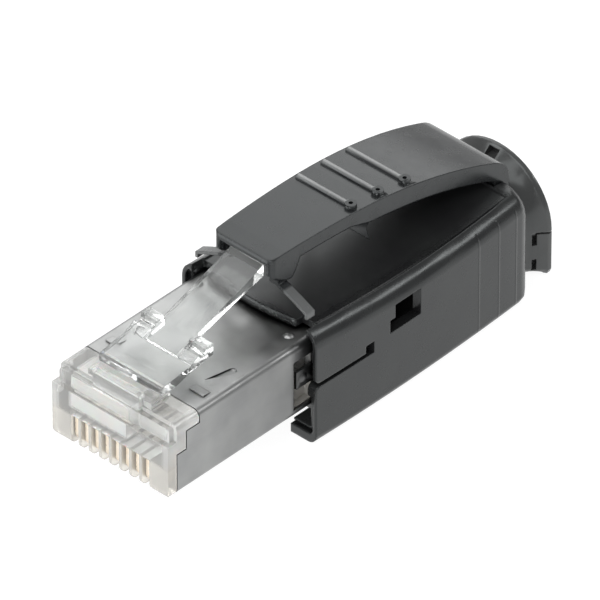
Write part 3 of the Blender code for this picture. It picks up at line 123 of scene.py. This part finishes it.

# The shield: painted shade on its sides, darker towards the hood and darkest just before it, where the hood's
# shadow falls, and painted shade in its crevices
SHIELD_SIDE_BAND = (5.3 * MM, 5.5 * MM)
SIDE_SHADE_BAND = (NOSE_Y + 2.0 * MM, NOSE_Y + 12.0 * MM)
HOOD_SHADE_BAND = (NOSE_Y + 13.0 * MM, NOSE_Y + 13.6 * MM)
SIDE_SHADE_GREY = (0.12, 0.122, 0.122)
# Painted shade in corners and crevices, darker where less light reaches
CREVICE_SHADE_GREY = (0.03, 0.03, 0.03)
CREVICE_REACH = 0.6 * MM
CREVICE_BAND = (0.45, 0.92)

# The plug's core: the stretch where it turns milky, where it is clear again, its walls and its comb
MILKY_BAND = (NOSE_Y + 3.2 * MM, NOSE_Y + 4.2 * MM)
CLEAR_BAND = (NOSE_Y + 10.0 * MM, NOSE_Y + 11.0 * MM)
WALL_BAND = (5.0 * MM, 5.5 * MM)
WALL_CLEARNESS = 0.82
COMB_TOP = PLUG_LIFT + 2.6 * MM
COMB_BAND = (COMB_TOP, COMB_TOP + 0.4 * MM)
COMB_CLEARNESS = 0.78
COMB_WARMTH_BAND = (COMB_TOP, COMB_TOP + 0.6 * MM)
COMB_TINT = (0.99, 0.965, 0.91)
FLOW_TINT = (0.97, 0.98, 0.97)

# Camera, matched to the photo's view: the near lower corner of the nose lies on its pixel
VIEW_AZIMUTH = math.radians(43.12)
VIEW_ELEVATION = math.radians(37.62)
FRAME_PIXELS = 600
FOCAL_PIXELS = 14000.0
PIXELS_PER_MM = 13.76
ANCHOR = (5.84 * MM, 0.0, 0.0)
ANCHOR_PIXEL = (168.16, 501.49)
SENSOR = 36.0
CLIP_NEAR = 0.01
CLIP_FAR = 10.0

# Floor and surroundings
FLOOR_REACH = 0.6
FLOOR_GAP = 0.02 * MM
FLOOR_GLOW = 0.92
WORLD_GLOW = 0.35
WHITE = (1.0, 1.0, 1.0, 1.0)


def at(x, y, z):
    """A point given from the nose's face and the plug's underside, in the model's frame."""
    return Vector((x, y + NOSE_Y, z + PLUG_LIFT))


def make_camera():
    a, e = VIEW_AZIMUTH, VIEW_ELEVATION
    back = Vector((math.sin(a) * math.cos(e), -math.cos(a) * math.cos(e), math.sin(e)))
    right = Vector((math.cos(a), math.sin(a), 0.0))
    above = back.cross(right)
    distance = FOCAL_PIXELS / PIXELS_PER_MM * MM
    u = (ANCHOR_PIXEL[0] - FRAME_PIXELS / 2) / FOCAL_PIXELS
    v = (FRAME_PIXELS / 2 - ANCHOR_PIXEL[1]) / FOCAL_PIXELS
    place = at(*ANCHOR) + distance * (back - u * right - v * above)
    data = bpy.data.cameras.new("camera")
    data.sensor_width = SENSOR
    data.lens = FOCAL_PIXELS / FRAME_PIXELS * SENSOR
    data.clip_start = CLIP_NEAR
    data.clip_end = CLIP_FAR
    camera = bpy.data.objects.new("camera", data)
    bpy.context.scene.collection.objects.link(camera)
    turn = Matrix((right, above, back)).transposed().to_4x4()
    camera.matrix_world = Matrix.Translation(place) @ turn
    bpy.context.scene.camera = camera


class Graph:
    """A short way to write a node material."""

    def __init__(self, name):
        self.material = bpy.data.materials.new(name)
        self.material.use_nodes = True
        self.nodes = self.material.node_tree.nodes
        self.links = self.material.node_tree.links
        self.shader = self.nodes["Principled BSDF"]
        self.place = self.nodes.new("ShaderNodeTexCoord").outputs["Object"]

    def set(self, **values):
        """Plain values of the shader, by the names of its sockets in small letters."""
        for key, value in values.items():
            socket = key.replace("_", " ").title().replace("Ior", "IOR")
            self.shader.inputs[socket].default_value = value

    def feed(self, socket, value):
        self.links.new(value, self.shader.inputs[socket])

    def along(self, axis):
        """The place's distance along one axis of the model."""
        split = self.nodes.new("ShaderNodeSeparateXYZ")
        self.links.new(self.place, split.inputs["Vector"])
        return split.outputs[axis]

    def aside(self):
        """How far a place is from the middle plane, to either side."""
        return self.math("ABSOLUTE", self.along("X"), 0.0)

    def stretch(self, scale):
        """The place, scaled apart along each axis, for grain that runs one way."""
        mapping = self.nodes.new("ShaderNodeMapping")
        mapping.inputs["Scale"].default_value = scale
        self.links.new(self.place, mapping.inputs["Vector"])
        return mapping.outputs["Vector"]

    def noise(self, size, detail=3.0, roughness=0.5, place=None):
        """Noise with features of about that size in metres."""
        texture = self.nodes.new("ShaderNodeTexNoise")
        texture.inputs["Scale"].default_value = 1.0 / size
        texture.inputs["Detail"].default_value = detail
        texture.inputs["Roughness"].default_value = roughness
        self.links.new(place or self.place, texture.inputs["Vector"])
        return texture.outputs["Fac"]

    def span(self, value, low, high, start=NOISE_LOW, end=NOISE_HIGH):
        """The value's range from start to end, spread from low to high."""
        ranged = self.nodes.new("ShaderNodeMapRange")
        ranged.inputs["From Min"].default_value = start
        ranged.inputs["From Max"].default_value = end
        ranged.inputs["To Min"].default_value = low
        ranged.inputs["To Max"].default_value = high
        self.links.new(value, ranged.inputs["Value"])
        return ranged.outputs["Result"]

    def uneven(self, size, low, high):
        """A value that wanders between low and high in patches of about that size."""
        return self.span(self.noise(size), low, high)

    def near(self, value, middle, reach):
        """1 at the middle and 0 from that reach on, to both sides."""
        away = self.math("ABSOLUTE", self.math("SUBTRACT", value, middle), 0.0)
        return self.span(away, 1.0, 0.0, 0.0, reach)

    def math(self, operation, first, second):
        node = self.nodes.new("ShaderNodeMath")
        node.operation = operation
        for socket, value in zip(node.inputs, (first, second)):
            if isinstance(value, float):
                socket.default_value = value
            else:
                self.links.new(value, socket)
        return node.outputs["Value"]

    def mix(self, value, first, second):
        """The first colour where the value is 0, the second where it is 1."""
        blend = self.nodes.new("ShaderNodeMix")
        blend.data_type = "RGBA"
        for socket, colour in (("A", first), ("B", second)):
            if isinstance(colour, tuple):
                blend.inputs[socket].default_value = (*colour, 1.0)
            else:
                self.links.new(colour, blend.inputs[socket])
        self.links.new(value, blend.inputs["Factor"])
        return blend.outputs["Result"]

    def patches(self, size, first, second):
        """Soft patches of two colours, each about that size."""
        return self.mix(self.uneven(size, 0.0, 1.0), first, second)

    def bump(self, height, depth, below=None):
        """Normals of a relief of that depth, over the normals below it."""
        node = self.nodes.new("ShaderNodeBump")
        node.inputs["Distance"].default_value = depth
        self.links.new(height, node.inputs["Height"])
        if below:
            self.links.new(below, node.inputs["Normal"])
        return node.outputs["Normal"]

    def rounded(self, radius):
        """Normals that round edges off by that radius, or by the one that a function gives for each place."""
        node = self.nodes.new("ShaderNodeBevel")
        node.samples = ROUNDING_SAMPLES
        if isinstance(radius, float):
            node.inputs["Radius"].default_value = radius
        else:
            self.links.new(radius(self), node.inputs["Radius"])
        return node.outputs["Normal"]

    def open(self, reach):
        """1 where nothing stands near the surface, less in corners and crevices that close."""
        node = self.nodes.new("ShaderNodeAmbientOcclusion")
        node.samples = CREVICE_SAMPLES
        node.inputs["Distance"].default_value = reach
        return node.outputs["AO"]


def behind(front, band):
    """A band of lengths behind the front, as places along Y."""
    return front + band[0], front + band[1]


def lever_inset(g, across):
    """How far a place on the lever, that far across from its middle, lies inside its side edge."""
    low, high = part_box("press_lever")
    half_width = g.span(g.along("Y"), LEVER_FRONT_HALF_WIDTH, LEVER_REAR_HALF_WIDTH, low.y, high.y)
    return g.math("SUBTRACT", half_width, across)


def lever_edges(g):
    """Rounding radius on the lever: wide along its sides and at its lip, next to none on the ribs."""
    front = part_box("press_lever")[0].y
    side = g.span(lever_inset(g, g.aside()), LEVER_SIDE_ROUNDING, LEVER_TOP_ROUNDING, *LEVER_SIDE_BAND)
    lip = g.span(g.along("Y"), LIP_ROUNDING, 0.0, *behind(front, LIP_BAND))
    return g.math("MAXIMUM", side, lip)


def ribs_painted_highlight(g):
    """1 on the grip ribs, where a pale highlight is painted, a little on the thin wings, where a pale sheen
    is painted, 0 elsewhere.
    """
    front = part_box("press_lever")[0].y
    inset = lever_inset(g, g.aside())
    painted_highlight = g.span(inset, WING_SHEEN, 0.0, *WING_BAND)
    off_edge = g.span(inset, 0.0, 1.0, *RIB_END_BAND)
    off_knob = g.span(lever_inset(g, g.along("X")), 0.0, 1.0, *KNOB_BAND)
    between = g.math("MULTIPLY", off_edge, off_knob)
    for i in range(RIB_COUNT):
        away = g.math("SUBTRACT", g.along("Y"), front + RIB_FIRST + i * RIB_PITCH)
        on_rib = g.span(g.math("ABSOLUTE", away, 0.0), 1.0, 0.0, *RIB_CREST_BAND)
        painted_highlight = g.math("MAXIMUM", painted_highlight, g.math("MULTIPLY", on_rib, between))
    return painted_highlight


def hood_edges(g):
    """Rounding radius on the hood: wide at its front end, small elsewhere."""
    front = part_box("hood")[0].y
    return g.span(g.along("Y"), HOOD_FRONT_ROUNDING, HOOD_ROUNDING, *behind(front, HOOD_FRONT_BAND))


def dull_roof(g):
    """1 on the hood's roof behind its front edge, 0 elsewhere."""
    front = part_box("hood")[0].y
    back = g.span(g.along("Y"), 0.0, 1.0, *behind(front, ROOF_FRONT_BAND))
    return g.math("MULTIPLY", back, g.span(g.aside(), 1.0, 0.0, *ROOF_SIDE_BAND))


def side_lines(g, places):
    """1 on the faint upright lines on the hood's sides, 0 elsewhere."""
    outside = g.span(g.aside(), 0.0, 1.0, *HOOD_SIDE_BAND)
    line = g.near(g.along("Y"), places[0], SIDE_LINE_REACH)
    for y in places[1:]:
        line = g.math("MAXIMUM", line, g.near(g.along("Y"), y, SIDE_LINE_REACH))
    return g.math("MULTIPLY", line, outside)


def black_plastic(name, dark, light, rough, grain, edge, lines=(), dull=None, painted_highlight=None):
    """Satin moulded plastic: soft patches of shade, a fine grain and softened edges.

    lines gives the places of faint lines down the sides; the other two functions say where it is duller and
    where a pale grey is painted as a highlight.
    """
    g = Graph(name)
    g.set(specular_ior_level=0.5, ior=1.5, specular_tint=(0.95, 1.0, 1.0, 1.0))
    colour = g.patches(3.5 * MM, dark, light)
    # Painted highlight: a pale grey on the rib crests, and a little of it on the wings as a painted sheen
    if painted_highlight:
        colour = g.mix(painted_highlight(g), colour, HIGHLIGHT_GREY)
    g.feed("Base Color", colour)
    roughness = g.uneven(1.1 * MM, rough - 0.03, rough + 0.04)
    if dull:
        roughness = g.math("ADD", roughness, g.math("MULTIPLY", dull(g), ROOF_DULLING))
    g.feed("Roughness", roughness)
    normal = g.bump(g.noise(0.10 * MM, detail=2.0), grain, g.rounded(edge))
    if lines:
        normal = g.bump(side_lines(g, lines), SIDE_LINE_HEIGHT, normal)
    g.feed("Normal", normal)
    return g.material


def nickel(name):
    """Rolled nickel sheet, a little wavy, with fine streaks along the plug, painted shade along its sides
    towards the hood and painted shade in its crevices.
    """
    g = Graph(name)
    g.set(metallic=1.0)
    plated = g.patches(3.0 * MM, (0.31, 0.315, 0.315), (0.38, 0.385, 0.38))
    # Painted shade: the sides darken towards the hood, and most just before it, where its shadow falls
    side_shade = g.span(g.along("Y"), 0.08, 0.5, *SIDE_SHADE_BAND)
    side_shade = g.math("ADD", side_shade, g.span(g.along("Y"), 0.0, 0.5, *HOOD_SHADE_BAND))
    sides = g.span(g.aside(), 0.0, 1.0, *SHIELD_SIDE_BAND)
    plated = g.mix(g.math("MULTIPLY", side_shade, sides), plated, SIDE_SHADE_GREY)
    # Painted shade: the sheet darkens in corners and crevices, where little light reaches
    crevice_shade = g.span(g.open(CREVICE_REACH), 1.0, 0.0, *CREVICE_BAND)
    g.feed("Base Color", g.mix(crevice_shade, plated, CREVICE_SHADE_GREY))
    rolled = g.noise(0.12 * MM, detail=4.0, roughness=0.6, place=g.stretch((1.0, 0.06, 1.0)))
    cloudy = g.span(g.noise(2.6 * MM, detail=2.0), 0.28, 0.42, start=0.35, end=0.65)
    g.feed("Roughness", g.math("ADD", cloudy, g.span(rolled, 0.0, 0.06)))
    wavy = g.bump(g.noise(4.0 * MM, detail=1.0), 0.12 * MM, g.rounded(0.10 * MM))
    g.feed("Normal", g.bump(rolled, 0.0015 * MM, wavy))
    return g.material


def clear_plastic(name, tint, rough, edge, flow):
    """Moulded plastic with faint flow marks: its graph and colour, for the caller to say how clear it is."""
    g = Graph(name)
    g.set(ior=1.5)
    g.feed("Roughness", g.uneven(1.5 * MM, rough, rough + 0.06))
    g.feed("Normal", g.bump(g.noise(1.6 * MM, detail=2.0), flow, g.rounded(edge)))
    return g, g.patches(3.0 * MM, tint, FLOW_TINT)


def latch_plastic(name, clear):
    """The latch, clear all through."""
    g, colour = clear_plastic(name, tint=(0.95, 0.97, 0.96), rough=0.03, edge=0.04 * MM, flow=0.005 * MM)
    g.set(transmission_weight=clear)
    g.feed("Base Color", colour)
    return g.material


def nose_plastic(name, clear):
    """The nose and core: clear, milky in the middle, with cloudier walls and a warm comb at the contacts."""
    g, colour = clear_plastic(name, tint=(0.98, 0.98, 0.96), rough=0.05, edge=0.06 * MM, flow=0.015 * MM)
    front = g.span(g.along("Y"), clear, 0.0, *MILKY_BAND)
    rear = g.span(g.along("Y"), 0.0, clear, *CLEAR_BAND)
    walls = g.span(g.aside(), clear, WALL_CLEARNESS * clear, *WALL_BAND)
    comb = g.span(g.along("Z"), COMB_CLEARNESS * clear, clear, *COMB_BAND)
    depth = g.math("MAXIMUM", front, rear)
    g.feed("Transmission Weight", g.math("MINIMUM", depth, g.math("MINIMUM", walls, comb)))
    g.feed("Base Color", g.mix(g.span(g.along("Z"), 1.0, 0.0, *COMB_WARMTH_BAND), colour, COMB_TINT))
    return g.material


def milky_plastic(name):
    """Milky white plastic that light soaks into a little."""
    g = Graph(name)
    g.set(subsurface_weight=0.4, subsurface_scale=0.5 * MM, ior=1.49)
    g.feed("Base Color", g.patches(1.5 * MM, (0.88, 0.89, 0.87), (0.95, 0.95, 0.94)))
    g.feed("Roughness", g.uneven(0.8 * MM, 0.3, 0.42))
    g.feed("Normal", g.bump(g.noise(0.3 * MM), 0.004 * MM, g.rounded(0.08 * MM)))
    return g.material


def gold(name):
    """Pale gold plating with a fine, uneven polish."""
    g = Graph(name)
    g.set(metallic=1.0)
    g.feed("Base Color", g.patches(0.5 * MM, (0.88, 0.77, 0.62), (0.95, 0.87, 0.76)))
    g.feed("Roughness", g.uneven(0.2 * MM, 0.25, 0.4))
    g.feed("Normal", g.bump(g.noise(0.1 * MM), 0.002 * MM, g.rounded(0.03 * MM)))
    return g.material


def coat(mesh, material):
    """One material over the whole mesh."""
    mesh.materials.clear()
    mesh.materials.append(material)
    for face in mesh.polygons:
        face.material_index = 0


def dress(node, material):
    coat(NODES[node].data, material)


def skin_over(node, material, bevel=0.0):
    """A smooth-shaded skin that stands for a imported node: same shape, welded, with creases kept crisp."""
    shape = bmesh.new()
    shape.from_mesh(NODES[node].data)
    bmesh.ops.remove_doubles(shape, verts=shape.verts, dist=WELD)
    bmesh.ops.dissolve_limit(shape, angle_limit=FLAT, verts=shape.verts, edges=shape.edges)
    bmesh.ops.recalc_face_normals(shape, faces=shape.faces)
    mesh = bpy.data.meshes.new(f"{node}_skin")
    shape.to_mesh(mesh)
    shape.free()
    mesh.shade_smooth()
    mesh.set_sharp_from_angle(angle=CREASE)
    coat(mesh, material)
    piece = bpy.data.objects.new(f"{node}_skin", mesh)
    bpy.context.scene.collection.objects.link(piece)
    if bevel:
        rounding = piece.modifiers.new("edges", "BEVEL")
        rounding.width = bevel
        rounding.segments = BEVEL_SEGMENTS
        rounding.limit_method = "ANGLE"
        rounding.angle_limit = CREASE
        rounding.harden_normals = True
    even = piece.modifiers.new("even_shading", "WEIGHTED_NORMAL")
    even.keep_sharp = True
    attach(piece, BODY_OF.get(node, "base"))
    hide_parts(node)


def make_stage():
    """A plain white floor that glows enough to leave only a faint shade under the plug."""
    r = FLOOR_REACH
    mesh = bpy.data.meshes.new("floor")
    mesh.from_pydata([(-r, -r, 0), (r, -r, 0), (r, r, 0), (-r, r, 0)], [], [(0, 1, 2, 3)])
    floor = bpy.data.objects.new("floor", mesh)
    bpy.context.scene.collection.objects.link(floor)
    floor.location.z = cad_box[0].z - FLOOR_GAP
    g = Graph("floor_white")
    g.set(specular_ior_level=0.0, roughness=1.0, emission_color=WHITE, emission_strength=FLOOR_GLOW)
    g.feed("Base Color", g.mix(g.noise(30.0 * MM), (0.20, 0.20, 0.20), (0.21, 0.21, 0.21)))
    mesh.materials.append(g.material)


def make_light(name, place, width, height, glow, tall=(0.0, 0.0, 1.0)):
    """A soft box that looks at the plug, its height along tall; its glow is how bright its face is."""
    data = bpy.data.lights.new(name, "AREA")
    data.shape = "RECTANGLE"
    data.size = width
    data.size_y = height
    data.energy = glow * math.pi * width * height
    light = bpy.data.objects.new(name, data)
    bpy.context.scene.collection.objects.link(light)
    out = Vector(place).normalized()
    side = Vector(tall).cross(out).normalized()
    turn = Matrix((side, out.cross(side), out)).transposed().to_4x4()
    light.matrix_world = Matrix.Translation(place) @ turn


def make_world():
    world = bpy.data.worlds.new("studio")
    bpy.context.scene.world = world
    world.use_nodes = True
    background = world.node_tree.nodes["Background"]
    background.inputs["Color"].default_value = WHITE
    background.inputs["Strength"].default_value = WORLD_GLOW
    bpy.context.scene.view_settings.view_transform = "Standard"


make_camera()
make_stage()
make_world()
make_light("left_box", (-0.22, 0.24, 0.25), width=0.40, height=0.40, glow=1.55)
make_light("front_strip", (-0.16, -0.18, 0.18), width=0.12, height=0.46, glow=3.0, tall=(0.0, 1.0, 1.0))
make_light("top_box", (0.08, -0.20, 0.34), width=0.30, height=0.30, glow=2.2)
make_light("rim_box", (0.19, 0.20, 0.21), width=0.08, height=0.08, glow=7.0)
make_light("side_box", (0.16, -0.30, 0.07), width=0.10, height=0.10, glow=9.0)

hood_black = black_plastic(
    "hood_black",
    dark=(0.013, 0.013, 0.014),
    light=(0.018, 0.019, 0.019),
    rough=0.25,
    grain=0.0015 * MM,
    edge=hood_edges,
    lines=SIDE_LINES,
    dull=dull_roof,
)
collar_black = black_plastic(
    "collar_black",
    dark=(0.054, 0.055, 0.055),
    light=(0.070, 0.071, 0.071),
    rough=0.20,
    grain=0.001 * MM,
    edge=0.10 * MM,
)
lever_black = black_plastic(
    "lever_black",
    dark=(0.013, 0.014, 0.015),
    light=(0.018, 0.019, 0.020),
    rough=0.25,
    grain=0.001 * MM,
    edge=lever_edges,
    painted_highlight=ribs_painted_highlight,
)
nose_clear = nose_plastic("nose_clear", clear=0.80)
latch_clear = latch_plastic("latch_clear", clear=0.95)
metal = nickel("nickel_sheet")
milk = milky_plastic("milky_bar")
contact = gold("contact_plating")

skin_over("hood", hood_black)
skin_over("cable_collar", collar_black)
skin_over("press_lever", lever_black)
skin_over("plug_housing", nose_clear, NOSE_BEVEL)
skin_over("latch", latch_clear, LATCH_BEVEL)
skin_over("shield", metal)
dress("crimp_ferrule", metal)
dress("load_bar", milk)
for i in range(CONTACT_COUNT):
    dress(f"contact_{i + 1}", contact)
for node in ("hood", "cable_collar", "press_lever"):
    dress(node, hood_black)
for node in ("plug_housing", "latch"):
    dress(node, nose_clear)
dress("shield", metal)
